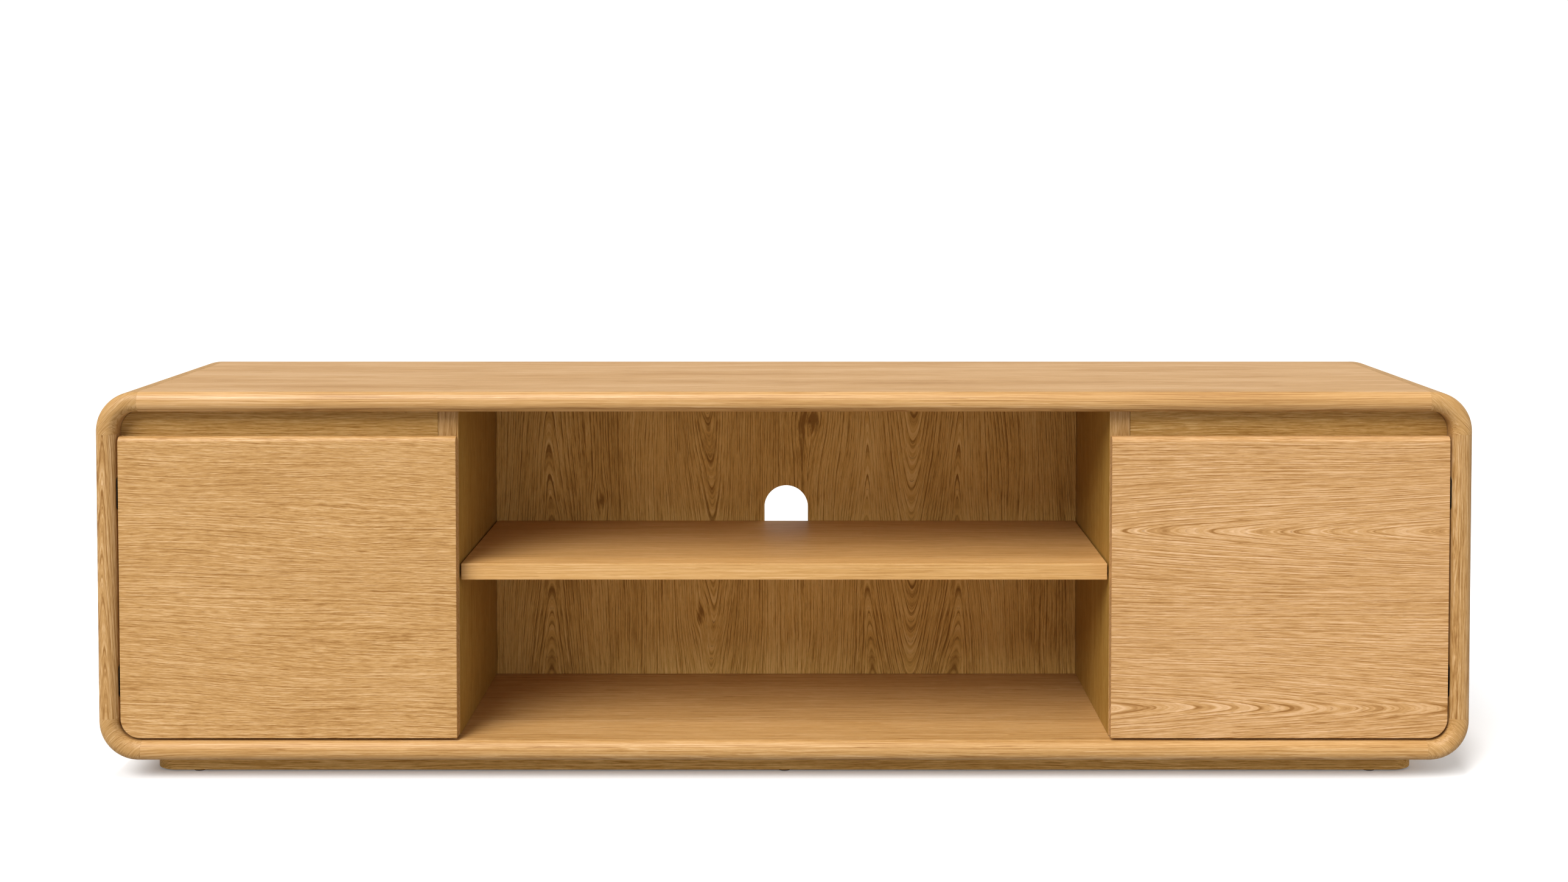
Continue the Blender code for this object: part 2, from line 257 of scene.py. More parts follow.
def makeOak(name, **changes):
    look = {**oakBase, **changes}
    oak = Finish(bpy.data.materials.new(name))
    place = oak.place()
    along, across, through = [place["xyz".index(letter)] for letter in look["run"]]
    through = through - look["face"]
    if look.get("diagonal"):
        along, across = along + across * look["diagonal"], across - along * look["diagonal"]
    spot = (along, across, through)
    seed = look["seed"]

    # rings: straight lines that sway, bent round the centre line of each figure
    crossing = across + through * look["turn"] + along * look["slope"]
    crossing = crossing + oak.clouds(spot, (0.45, 0.11, 0.11), seed, 1.0) * look["sway"]
    crossing = crossing + oak.clouds(spot, (0.060, 0.014, 0.014), seed + 7, 1.0) * look["wobble"]
    eyes = 0.0
    for centre, height, size in look["knots"]:
        beside = crossing - centre
        beyond = (along - height) * 0.4
        apart = (beside * beside + beyond * beyond) * (1 / size ** 2)
        swell = (apart * -1.0).exponential()
        crossing = crossing - beside * swell * 0.8
        eyes = (apart * -9.0).exponential() + eyes
    # the growth folds over at the centre line of each figure, in order across the board
    growth, last = crossing, 0.0
    for number, (centre, strongest, blunt, taper) in enumerate(look["figures"]):
        offset = abs(centre - last) - growth if number else growth - centre
        arch = (offset * offset + blunt * blunt) ** 0.5
        near = 1 - arch.between(0.02, 0.12)
        growth = arch + (along - strongest) * near * taper
        last = centre
    rings = growth * (1 / look["ringGap"])
    uneven = oak.node("TexNoise", {"noise_dimensions": "1D"},
                      {"W": rings * 0.37 + seed, "Scale": 1.0})
    rings = rings + uneven * 1.8
    within = rings.fraction()
    yearly = oak.node("TexWhiteNoise", {"noise_dimensions": "1D"}, {"W": rings.whole()})
    profile = oak.ramp(within, ((0.0, grey(0.75)), (0.06, grey(1.0)), (0.20, grey(0.72)),
                                (0.62, grey(0.52)), (0.84, grey(0.12)), (0.91, grey(0.0)),
                                (1.0, grey(0.75))))

    # streaks of fibre that flow along the rings, from fine to broad
    flow = (along, growth, through * 0.3)
    fine = oak.clouds(flow, (look["fineLength"], 0.00095, 0.0009), seed + 11, 3.0, 0.65)
    coarse = oak.clouds(flow, (0.110, 0.0030, 0.0030), seed + 17, 2.0)
    broad = oak.clouds(spot, (0.45, 0.055, 0.055), seed + 23, 2.0)
    broken = oak.clouds(flow, (0.060, 0.0040, 0.0040), seed + 29, 1.0).between(-0.25, 0.10)
    flecks = oak.clouds(flow, (0.016, 0.00065, 0.00065), seed + 31, 1.0).between(0.13, 0.28)

    tone = 0.5 + (profile - 0.55) * look["rings"] * (broken * 0.6 + 0.4) * (yearly * 0.9 + 0.4)
    short = oak.clouds(flow, (0.018, 0.0010, 0.0010), seed + 41, 2.0, 0.6)
    tone = tone + short * look["dashes"] + fine * look["fine"] + coarse * look["coarse"]
    tone = tone + broad * look["broad"] + flecks * look["flecks"] - eyes * 0.7

    # long thin grooves, each with a pale edge beside it
    winding = oak.clouds(flow, (0.22, 0.0040, 0.0040), seed + 47, 1.0) + 0.5
    grooves = oak.ramp(winding, ((0.0, grey(0.5)), (0.40, grey(0.5)), (0.475, grey(0.35)),
                                 (0.495, grey(0.0)), (0.512, grey(0.15)), (0.53, grey(0.95)),
                                 (0.57, grey(0.62)), (0.66, grey(0.5)), (1.0, grey(0.5))))
    tone = tone + (grooves - 0.5) * look["grooves"]
    colour = oak.ramp(tone, ((0.0, (*look["dark"], 1)), (0.5, (*look["middle"], 1)),
                             (1.0, (*look["light"], 1))))

    # open pores: short dark dashes, thickest just after a ring's dark line
    dashes = oak.clouds(flow, (0.0090, 0.00050, 0.0005), seed + 37, 1.0).between(0.10, 0.24)
    early = 1 - within.between(0.15, 0.55)
    pores = dashes * (early * 0.75 + 0.25)
    colour = oak.mix(pores * look["pores"], colour, (*look["pore"], 1))

    low, high = look["roughness"]
    height = tone * 0.4 - pores * 0.6
    bump = oak.node("Bump", {}, {"Strength": look["relief"], "Distance": 0.0004, "Height": height})
    oak.feed(oak.shader.inputs["Base Color"], colour)
    oak.feed(oak.shader.inputs["Roughness"], high - tone * (high - low) + pores * 0.1)
    oak.feed(oak.shader.inputs["Normal"], bump)
    oak.shader.inputs["Specular IOR Level"].default_value = look["sheen"]
    return oak.owner


def makeSteel(name, colour, roughness):
    steel = Finish(bpy.data.materials.new(name))
    spot = steel.place()
    brushed = steel.clouds(spot, (0.0004, 0.0004, 0.012), 5.0, 2.0)
    worn = steel.clouds(spot, (0.006, 0.006, 0.006), 9.0, 3.0)
    steel.feed(steel.shader.inputs["Base Color"], (*colour, 1))
    steel.feed(steel.shader.inputs["Metallic"], 1.0)
    steel.feed(steel.shader.inputs["Roughness"], brushed * 0.22 + worn * 0.12 + roughness)
    bump = steel.node("Bump", {}, {"Strength": 0.15, "Distance": 0.0001, "Height": brushed})
    steel.feed(steel.shader.inputs["Normal"], bump)
    return steel.owner


def makeFelt(name, colour):
    felt = Finish(bpy.data.materials.new(name))
    spot = felt.place()
    fuzz = felt.clouds(spot, (0.0006, 0.0006, 0.0006), 2.0, 3.0)
    deep = tuple(part * 0.6 for part in colour)
    felt.feed(felt.shader.inputs["Base Color"], felt.mix(fuzz + 0.5, (*deep, 1), (*colour, 1)))
    felt.feed(felt.shader.inputs["Roughness"], 0.95)
    bump = felt.node("Bump", {}, {"Strength": 0.6, "Distance": 0.0003, "Height": fuzz})
    felt.feed(felt.shader.inputs["Normal"], bump)
    return felt.owner


def nothingSelected():
    if bpy.context.object and bpy.context.object.mode != "OBJECT":
        bpy.ops.object.mode_set(mode="OBJECT")
    bpy.ops.object.select_all(action="DESELECT")


def onlySelected(piece):
    nothingSelected()
    piece.select_set(True)
    bpy.context.view_layer.objects.active = piece


def addBlock(name, low, high):
    nothingSelected()
    middle = (Vector(low) + Vector(high)) / 2
    bpy.ops.mesh.primitive_cube_add(size=1, location=middle)
    block = bpy.context.object
    block.name = name
    block.scale = Vector(high) - Vector(low)
    bpy.ops.object.transform_apply(location=True, rotation=True, scale=True)
    return block


def addRound(name, start, end, radius, corners=48):
    # a round bar from one point to another
    nothingSelected()
    start, end = Vector(start), Vector(end)
    turn = (end - start).to_track_quat("Z", "Y").to_euler()
    bpy.ops.mesh.primitive_cylinder_add(vertices=corners, radius=radius, depth=(end - start).length,
                                        location=(start + end) / 2, rotation=turn)
    bar = bpy.context.object
    bar.name = name
    bpy.ops.object.transform_apply(location=True, rotation=True, scale=True)
    return bar


def pick(piece, wanted, kind):
    # opens edit mode with the edges or faces that wanted() says yes to
    onlySelected(piece)
    mesh = piece.data
    for part in (mesh.vertices, mesh.edges, mesh.polygons):
        part.foreach_set("select", [False] * len(part))
    corners = [vertex.co for vertex in mesh.vertices]
    if kind == "EDGE":
        for edge in mesh.edges:
            edge.select = bool(wanted(corners[edge.vertices[0]], corners[edge.vertices[1]]))
    else:
        for face in mesh.polygons:
            face.select = bool(wanted(face.center, face.normal))
    bpy.context.tool_settings.mesh_select_mode = (False, kind == "EDGE", kind == "FACE")
    bpy.ops.object.mode_set(mode="EDIT")


def roundEdges(piece, wanted, radius, steps, profile=0.5):
    pick(piece, wanted, "EDGE")
    bpy.ops.mesh.bevel(offset=radius, segments=steps, profile=profile, affect="EDGES")
    bpy.ops.object.mode_set(mode="OBJECT")


def softenSharp(piece, radius, steps=3, angle=30):
    # eases every edge that is still sharp
    pick(piece, lambda a, b: False, "EDGE")
    bpy.ops.mesh.edges_select_sharp(sharpness=math.radians(angle))
    bpy.ops.mesh.bevel(offset=radius, segments=steps, profile=0.5, affect="EDGES")
    bpy.ops.object.mode_set(mode="OBJECT")


def cutAway(piece, *tools):
    # subtracts each tool from the piece, and keeps the tools
    for tool in tools:
        onlySelected(piece)
        bpy.ops.object.modifier_add(type="BOOLEAN")
        cut = piece.modifiers[-1]
        cut.operation = "DIFFERENCE"
        cut.solver = "EXACT"
        cut.object = tool
        bpy.ops.object.modifier_apply(modifier=cut.name)


def throwAway(*tools):
    for tool in tools:
        bpy.data.objects.remove(tool, do_unlink=True)


def tidyNormals(piece):
    onlySelected(piece)
    bpy.ops.object.mode_set(mode="EDIT")
    bpy.ops.mesh.select_all(action="SELECT")
    bpy.ops.mesh.remove_doubles(threshold=0.000005)
    bpy.ops.mesh.normals_make_consistent(inside=False)
    bpy.ops.object.mode_set(mode="OBJECT")


def mirrored(piece, name, axis, about=0.0):
    # a copy with its own mesh, mirrored across the plane where that axis is "about"
    twin = piece.copy()
    twin.data = piece.data.copy()
    twin.name = name
    bpy.context.scene.collection.objects.link(twin)
    flip = Matrix.Identity(4)
    flip[axis][axis] = -1
    flip[axis][3] = 2 * about
    twin.data.transform(flip)
    tidyNormals(twin)
    return twin


def complete(piece, finish, body, slot, nodes=(), smooth=32):
    # smooth shading that leaves the flat faces flat, a finish, and a place in the assembly
    onlySelected(piece)
    piece.data.name = piece.name
    bpy.ops.object.shade_smooth_by_angle(angle=math.radians(smooth))
    bpy.ops.object.modifier_add(type="WEIGHTED_NORMAL")
    flat = piece.modifiers[-1]
    flat.keep_sharp = True
    bpy.ops.object.modifier_apply(modifier=flat.name)
    piece.data.materials.clear()
    piece.data.materials.append(finish)
    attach(piece, body)
    if nodes:
        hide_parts(*nodes)


case = {
    "nose": 0.012,
    "noseSteps": 12,
    "rear": 0.002,
    "reach": 0.00025,                # how much a panel is longer at each end, towards the blocks
    "jointEase": 0.0001,
    "cornerRadius": 0.052,
    "cornerSteps": 28,
}


def noseAndRear(piece, low, high):
    # rounds the front edges and eases the rear ones of a straight panel
    roundEdges(piece, lambda a, b: a.y < low.y + tiny and b.y < low.y + tiny and (a - b).length > 0.1,
               case["nose"], case["noseSteps"])
    roundEdges(piece, lambda a, b: a.y > high.y - tiny and b.y > high.y - tiny and (a - b).length > 0.1,
               case["rear"], 4)
    softenSharp(piece, case["jointEase"], 2, 60)


def makeCase(finishes):
    for name in ("top_panel", "bottom_panel"):
        low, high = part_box(name)
        low.x -= case["reach"]
        high.x += case["reach"]
        panel = addBlock("fine_" + name, low, high)
        noseAndRear(panel, low, high)
        complete(panel, finishes[name], "root", "oak", [name])

    low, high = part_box("right_side_panel")
    low.z -= case["reach"]
    high.z += case["reach"]
    panel = addBlock("fine_right_side_panel", low, high)
    noseAndRear(panel, low, high)
    panels = {"right": panel, "left": mirrored(panel, "fine_left_side_panel", 0)}
    print("case panels shaped")

    # a corner block starts as the panel's section and is swept round the corner
    low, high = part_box("right_top_corner_block")
    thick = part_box("top_panel")[1].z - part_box("top_panel")[0].z
    radius = case["cornerRadius"]
    nothingSelected()
    bpy.ops.mesh.primitive_plane_add(size=1,
                                     location=(high.x - thick / 2, (low.y + high.y) / 2, low.z))
    block = bpy.context.object
    block.name = "fine_right_top_corner_block"
    block.scale = (thick, high.y - low.y, 1)
    bpy.ops.object.transform_apply(location=True, rotation=True, scale=True)
    for front, offset, steps in ((True, case["nose"], case["noseSteps"]), (False, case["rear"], 4)):
        onlySelected(block)
        for vertex in block.data.vertices:
            vertex.select = abs(vertex.co.y - (low.y if front else high.y)) < tiny
        for part in (block.data.edges, block.data.polygons):
            part.foreach_set("select", [False] * len(part))
        bpy.context.tool_settings.mesh_select_mode = (True, False, False)
        bpy.ops.object.mode_set(mode="EDIT")
        bpy.ops.mesh.bevel(offset=offset, segments=steps, profile=0.5, affect="VERTICES")
        bpy.ops.object.mode_set(mode="OBJECT")
    onlySelected(block)
    bpy.ops.object.mode_set(mode="EDIT")
    bpy.ops.mesh.select_all(action="SELECT")
    centreX, centreZ = high.x - radius, high.z - radius
    leg = centreZ - low.z
    bpy.ops.mesh.extrude_region_move(TRANSFORM_OT_translate={"value": (0, 0, leg)})
    bpy.ops.mesh.spin(steps=case["cornerSteps"], angle=math.pi / 2,
                      center=(centreX, 0, centreZ), axis=(0, 1, 0))
    bpy.ops.mesh.extrude_region_move(TRANSFORM_OT_translate={"value": (-leg, 0, 0)})
    bpy.ops.object.mode_set(mode="OBJECT")
    tidyNormals(block)
    softenSharp(block, case["jointEase"], 2, 60)
    middle = (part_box("top_panel")[1].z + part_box("bottom_panel")[0].z) / 2
    blocks = {("right", "top"): block}
    blocks["right", "bottom"] = mirrored(block, "fine_right_bottom_corner_block", 2, middle)
    blocks["left", "top"] = mirrored(block, "fine_left_top_corner_block", 0)
    blocks["left", "bottom"] = mirrored(blocks["right", "bottom"], "fine_left_bottom_corner_block", 0)
    for (side, level), made in blocks.items():
        complete(made, finishes[f"{side}_{level}"], "root", "oak", [f"{side}_{level}_corner_block"])
    print("corner blocks swept")
    return panels


inside = {
    "ease": 0.0008,                  # dividers and shelves
    "backEase": 0.0003,              # rails and backs
    "innerRadius": 0.0252,
}


def alongDepth(a, b):
    return abs(a.x - b.x) < tiny and abs(a.z - b.z) < tiny


def alongWidth(a, b):
    return abs(a.y - b.y) < tiny and abs(a.z - b.z) < tiny


def makeBoards():
    boards = {}
    for name in ("left_divider", "right_divider", "niche_shelf", "left_shelf", "right_shelf"):
        low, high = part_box(name)
        board = addBlock("fine_" + name, low, high)
        softenSharp(board, inside["ease"], 3, 60)
        boards[name] = board
    for name in ("left_top_rail", "right_top_rail",
                 "left_back_panel", "centre_back_panel", "right_back_panel"):
        low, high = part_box(name)
        board = addBlock("fine_" + name, low, high)
        outer = max(abs(low.x), abs(high.x))
        rail = name.endswith("rail")
        if not name.startswith("centre"):
            roundEdges(board, lambda a, b: alongDepth(a, b) and abs(abs(a.x) - outer) < tiny
                       and (not rail or a.z > high.z - tiny), inside["innerRadius"], 12)
        softenSharp(board, inside["backEase"], 2, 60)
        boards[name] = board
    return boards


port = {"width": 0.064, "height": 0.120, "rise": 0.052, "ease": 0.0015}


def cutPorts(boards):
    # a round-ended cable port behind each shelf
    for side in ("left", "centre", "right"):
        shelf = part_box(("niche" if side == "centre" else side) + "_shelf")
        panel = boards[side + "_back_panel"]
        low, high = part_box(side + "_back_panel")
        middle = (shelf[0].x + shelf[1].x) / 2
        if side != "centre":
            middle = sides[side] * (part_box("right_divider")[1].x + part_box("right_side_panel")[0].x) / 2
        top = shelf[1].z + port["rise"]
        tool = addBlock("port_tool", (middle - port["width"] / 2, low.y - 0.02, top - port["height"]),
                        (middle + port["width"] / 2, high.y + 0.02, top))
        roundEdges(tool, alongDepth, port["width"] / 2 - 0.00001, 24)
        cutAway(panel, tool)
        throwAway(tool)
        near = port["width"] / 2 + 0.001

        def onRim(a, b):
            around = all(abs(p.x - middle) < near
                         and top - port["height"] - 0.001 < p.z < top + 0.001
                         and (abs(p.y - low.y) < tiny or abs(p.y - high.y) < tiny) for p in (a, b))
            return around and abs(a.y - b.y) < tiny
        roundEdges(panel, onRim, port["ease"], 4)


pin = {
    "radius": 0.0025,
    "buried": 0.010,
    "nose": 0.0009,
    "collarRadius": 0.0042,
    "collar": (0.0001, 0.0013),      # from the wall
    "collarEase": 0.0003,
    "boreRadius": 0.0028,
    "boreReach": 0.0103,
}


def makeInside(finishes, panels):
    boards = makeBoards()
    cutPorts(boards)

    # shelf pins: a shaft in the panel, a collar against it and a rounded nose under the shelf
    tools = []
    for shelf in ("niche", "left", "right"):
        for number in (1, 2, 3, 4):
            node = f"{shelf}_shelf_pin_{number}"
            low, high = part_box(node)
            middle = (low + high) / 2
            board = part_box(shelf + "_shelf")
            inward = 1 if middle.x < (board[0].x + board[1].x) / 2 else -1
            ends = sorted((low.x, high.x), key=lambda x: x * inward)
            wall = ends[0] + inward * pin["buried"]
            shaft = addRound(f"fine_{node}", (ends[0], middle.y, middle.z),
                             (ends[1], middle.y, middle.z), pin["radius"], 24)
            softenSharp(shaft, pin["nose"], 3, 60)
            start, end = [wall + inward * reach for reach in pin["collar"]]
            collar = addRound(node + "_collar", (start, middle.y, middle.z),
                              (end, middle.y, middle.z), pin["collarRadius"], 28)
            softenSharp(collar, pin["collarEase"], 2, 60)
            complete(shaft, finishes["pinSteel"], "root", "pin_steel", [node])
            complete(collar, finishes["pinSteel"], "root", "pin_steel")
            deep = wall - inward * pin["boreReach"]
            tools.append(addRound("bore_tool", (deep, middle.y, middle.z),
                                  (wall + inward * 0.003, middle.y, middle.z), pin["boreRadius"], 24))
    walls = [panels["left"], boards["left_divider"], boards["right_divider"], panels["right"]]
    for tool in tools:
        spot = tool.bound_box[0][0]
        nearest = min(walls, key=lambda wall: min(abs(spot - wall.bound_box[0][0]),
                                                  abs(spot - wall.bound_box[6][0])))
        cutAway(nearest, tool)
    throwAway(*tools)
    print("shelves, pins, rails and backs made")
    return boards


plinth = {"radius": 0.030, "thick": 0.018, "steps": 14, "ease": 0.0004, "glideEase": 0.0004}


def makePlinth(finishes):
    low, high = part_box("plinth_front_rail")
    thick, radius = plinth["thick"], plinth["radius"]
    nothingSelected()
    # its section stands at the left end, and is turned round both corners
    bpy.ops.mesh.primitive_plane_add(size=1, rotation=(math.pi / 2, 0, 0),
                                     location=(low.x + thick / 2, high.y, (low.z + high.z) / 2))
    front = bpy.context.object
    front.name = "fine_plinth_front_rail"
    front.scale = (thick, high.z - low.z, 1)
    bpy.ops.object.transform_apply(location=True, rotation=True, scale=True)
    bpy.ops.object.mode_set(mode="EDIT")
    bpy.ops.mesh.select_all(action="SELECT")
    quarter = -math.pi / 2          # spin turns clockwise for a positive angle
    bpy.ops.mesh.spin(steps=plinth["steps"], angle=quarter,
                      center=(low.x + radius, high.y, 0), axis=(0, 0, 1))
    straight = high.x - low.x - 2 * radius
    bpy.ops.mesh.extrude_region_move(TRANSFORM_OT_translate={"value": (straight, 0, 0)})
    bpy.ops.mesh.spin(steps=plinth["steps"], angle=quarter,
                      center=(high.x - radius, high.y, 0), axis=(0, 0, 1))
    bpy.ops.object.mode_set(mode="OBJECT")
    tidyNormals(front)
    softenSharp(front, plinth["ease"], 2, 60)
    rails = {"front": front, "back": mirrored(front, "fine_plinth_back_rail", 1)}
    for side in sides:
        low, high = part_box(f"plinth_{side}_rail")
        rails[side] = addBlock(f"fine_plinth_{side}_rail", low, high)
        softenSharp(rails[side], plinth["ease"], 2, 60)
    for side, rail in rails.items():
        complete(rail, finishes["plinthSide" if side in sides else "plinth"], "root", "oak_plinth",
                 [f"plinth_{side}_rail"])
    for number in range(1, 7):
        node = f"floor_glide_{number}"
        low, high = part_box(node)
        middle = (low + high) / 2
        glide = addRound("fine_" + node, (middle.x, middle.y, low.z),
                         (middle.x, middle.y, high.z), (high.x - low.x) / 2, 40)
        softenSharp(glide, plinth["glideEase"], 3, 60)
        complete(glide, finishes["felt"], "root", "glide_felt", [node])
    print("plinth stands on its glides")


door = {"cornerRadius": 0.026, "lip": 0.0075, "pull": 0.0085, "ease": 0.0008}


def makeDoors():
    low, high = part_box("right_door")
    panel = addBlock("fine_right_door", low, high)
    roundEdges(panel, lambda a, b: alongDepth(a, b) and a.x > high.x - tiny and a.z < low.z + tiny,
               door["cornerRadius"], 16)
    roundEdges(panel, lambda a, b: a.z > high.z - tiny and b.z > high.z - tiny
               and a.y < low.y + tiny and b.y < low.y + tiny, door["lip"], 10)
    roundEdges(panel, lambda a, b: a.z > high.z - tiny and b.z > high.z - tiny
               and a.y > high.y - tiny and b.y > high.y - tiny, door["pull"], 8, 0.28)
    softenSharp(panel, door["ease"], 3, 50)
    return {"right": panel, "left": mirrored(panel, "fine_left_door", 0)}


hinge = {
    "axisInset": 0.00125,            # the hinge line is this far outside the door's edge
    "linkRadius": 0.013,
    "linkThick": 0.0024,
    "linkAngle": 132.0,
    "plates": 5,
    "plateGap": 0.00025,
    "slotClearance": 0.0003,
    "pocketClearance": 0.0002,
    "halfEase": 0.0003,
    "plateEase": 0.00025,
    "screwRadius": 0.0024,
    "screwInset": 0.0042,
    "sinkDeep": 0.0009,
}

screwHead = {
    "thick": 0.0010,
    "edge": 0.00022,
    "armShare": 0.62,                # of the head's radius
    "crossDeep": 0.0007,
    "crossWide": 0.00042,            # to each side of an arm's middle line
}


def addSector(name, axis, inner, outer, bottom, top, angle, steps):
    # a curved plate about the hinge line, symmetrical about the way to the rear
    nothingSelected()
    bpy.ops.mesh.primitive_plane_add(size=1, rotation=(math.pi / 2, 0, 0),
                                     location=(axis.x + (inner + outer) / 2, axis.y, (bottom + top) / 2))
    plate = bpy.context.object
    plate.name = name
    plate.scale = (outer - inner, top - bottom, 1)
    bpy.ops.object.transform_apply(location=True, rotation=True, scale=True)
    spare = math.radians(180 - angle) / 2
    place = Matrix.Translation(axis) @ Matrix.Rotation(spare, 4, "Z") @ Matrix.Translation(-axis)
    plate.data.transform(place)
    onlySelected(plate)
    bpy.ops.object.mode_set(mode="EDIT")
    bpy.ops.mesh.select_all(action="SELECT")
    bpy.ops.mesh.spin(steps=steps, angle=-math.radians(angle), center=axis, axis=(0, 0, 1))
    bpy.ops.object.mode_set(mode="OBJECT")
    tidyNormals(plate)
    return plate


def makeScrew(name):
    # a countersunk head lying in the XY plane, its face up, with a cross recess
    radius = hinge["screwRadius"]
    head = addRound(name, (0, 0, -screwHead["thick"]), (0, 0, 0), radius, 40)
    roundEdges(head, lambda a, b: a.z > -tiny and b.z > -tiny, screwHead["edge"], 3)
    arm, deep, wide = radius * screwHead["armShare"], screwHead["crossDeep"], screwHead["crossWide"]
    tools = [addBlock("cross_tool", (-arm, -wide, -deep), (arm, wide, 0.001)),
             addBlock("cross_tool", (-wide, -arm, -deep), (wide, arm, 0.001))]
    cutAway(head, *tools)
    throwAway(*tools)
    return head


def placeCopy(source, name, place):
    twin = source.copy()
    twin.data = source.data.copy()
    twin.name = name
    bpy.context.scene.collection.objects.link(twin)
    twin.data.transform(place)
    return twin


def makeHinges(finishes, panels, doors):
    screw = makeScrew("screw_pattern")
    for side, sign in sides.items():
        doorLow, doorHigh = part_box(side + "_door")
        edge = doorHigh.x if sign > 0 else doorLow.x
        for level in ("upper", "lower"):
            name = f"{side}_{level}_hinge"
            low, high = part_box(name + "_link")
            axis = Vector((edge + sign * hinge["axisInset"], doorLow.y, 0))
            middle = (low.z + high.z) / 2
            inner = hinge["linkRadius"] - hinge["linkThick"] / 2
            outer = hinge["linkRadius"] + hinge["linkThick"] / 2
            spare = hinge["slotClearance"]
            slotTool = addSector("slot_tool", axis, inner - spare, outer + spare,
                                 low.z - spare, high.z + spare, hinge["linkAngle"] + 3, 36)
            frameLow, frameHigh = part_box(name + "_frame_half")
            halfLow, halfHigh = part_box(name + "_door_half")
            ends = [min(frameLow.x, halfLow.x), max(frameHigh.x, halfHigh.x)]
            room = hinge["pocketClearance"]
            pocket = addBlock("pocket_tool", (ends[0] - room, halfLow.y - room, halfLow.z - room),
                              (ends[1] + room, halfHigh.y + room, halfHigh.z + room))
            bodyRound = (halfHigh.y - halfLow.y) / 2 - 0.0002
            roundEdges(pocket, alongWidth, bodyRound, 10)
            cutAway(panels[side], pocket)
            cutAway(doors[side], pocket)
            for half, (bottom, top), body in (("frame", (frameLow, frameHigh), "root"),
                                              ("door", (halfLow, halfHigh), side + "_door")):
                shell = addBlock(f"fine_{name}_{half}_half", bottom, top)
                roundEdges(shell, alongWidth, bodyRound, 10)
                softenSharp(shell, hinge["halfEase"], 2, 60)
                cutAway(shell, slotTool)
                # screws sit at both ends of the face that shows in the gap
                outward = sign if half == "door" else -sign
                face = top.x if outward > 0 else bottom.x
                turn = Matrix.Rotation(math.radians(90 * outward), 4, "Y")
                for end, height in (("top", top.z - hinge["screwInset"]),
                                    ("bottom", bottom.z + hinge["screwInset"])):
                    spot = Matrix.Translation((face, (bottom.y + top.y) / 2, height))
                    sink = addRound("sink_tool", (face - outward * hinge["sinkDeep"], spot[1][3], height),
                                    (face + outward * 0.001, spot[1][3], height),
                                    hinge["screwRadius"] + 0.0002, 40)
                    cutAway(shell, sink)
                    throwAway(sink)
                    head = placeCopy(screw, f"{name}_{half}_{end}_screw", spot @ turn)
                    complete(head, finishes["screwSteel"], body, "hinge_steel")
                complete(shell, finishes["hingeSteel"], body, "hinge_steel", [f"{name}_{half}_half"])
            # the link is a stack of thin curved plates
            step = (high.z - low.z + hinge["plateGap"]) / hinge["plates"]
            link = addSector(f"fine_{name}_link", axis, inner, outer, low.z,
                             low.z + step - hinge["plateGap"], hinge["linkAngle"], 36)
            softenSharp(link, hinge["plateEase"], 2, 60)
            onlySelected(link)
            bpy.ops.object.modifier_add(type="ARRAY")
            stack = link.modifiers[-1]
            stack.count = hinge["plates"]
            stack.use_relative_offset = False
            stack.use_constant_offset = True
            stack.constant_offset_displace = (0, 0, step)
            bpy.ops.object.modifier_apply(modifier=stack.name)
            complete(link, finishes["linkSteel"], side + "_hinge_links", "hinge_steel", [name + "_link"])
            throwAway(slotTool, pocket)
    print("hinges let in")
    return screw


catch = {
    "boreSpare": 0.0002,
    "boreDeeper": 0.0003,
    "cupEase": 0.0004,
    "rim": 0.0010,
    "groove": 0.0005,
    "grooveDeep": 0.0004,
    "magnetEase": 0.0003,
    "plateEdge": 0.0003,
    "sinkDeep": 0.0003,
    "sinkSpare": 0.0001,
}


def makeCatches(finishes, boards, screw):
    for side in sides:
        low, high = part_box(side + "_catch_magnet")
        middle = (low + high) / 2
        radius = (high.x - low.x) / 2
        front, rear = (middle.x, low.y, middle.z), (middle.x, high.y, middle.z)
        bore = addRound("bore_tool", (middle.x, low.y - 0.003, middle.z),
                        (middle.x, high.y + catch["boreDeeper"], middle.z),
                        radius + catch["boreSpare"], 48)
        cutAway(boards[side + "_divider"], bore)
        cup = addRound(f"fine_{side}_catch_magnet", front, rear, radius, 48)
        softenSharp(cup, catch["cupEase"], 3, 60)
        # a ring groove between the cup's rim and the magnet in it
        pick(cup, lambda centre, normal: normal.y < -0.99, "FACE")
        bpy.ops.mesh.inset(thickness=catch["rim"])
        bpy.ops.mesh.inset(thickness=catch["groove"], depth=-catch["grooveDeep"])
        bpy.ops.mesh.inset(thickness=catch["magnetEase"], depth=catch["grooveDeep"])
        bpy.ops.object.mode_set(mode="OBJECT")
        complete(cup, finishes["magnet"], "root", "magnet", [side + "_catch_magnet"])

        low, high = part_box(side + "_strike_plate")
        radius = (high.x - low.x) / 2
        plate = addRound(f"fine_{side}_strike_plate", (middle.x, low.y, middle.z),
                         (middle.x, high.y, middle.z), radius, 56)
        roundEdges(plate, lambda a, b: a.y > high.y - tiny and b.y > high.y - tiny, catch["plateEdge"], 3)
        sink = addRound("sink_tool", (middle.x, high.y - catch["sinkDeep"], middle.z),
                        (middle.x, high.y + 0.002, middle.z),
                        hinge["screwRadius"] + catch["sinkSpare"], 40)
        cutAway(plate, sink)
        throwAway(bore, sink)
        turn = Matrix.Rotation(math.radians(-90), 4, "X")
        spot = Matrix.Translation((middle.x, high.y, middle.z))
        head = placeCopy(screw, side + "_strike_screw", spot @ turn)
        complete(head, finishes["screwSteel"], side + "_door", "hinge_steel")
        complete(plate, finishes["plateSteel"], side + "_door", "hinge_steel", [side + "_strike_plate"])
    print("catches set")


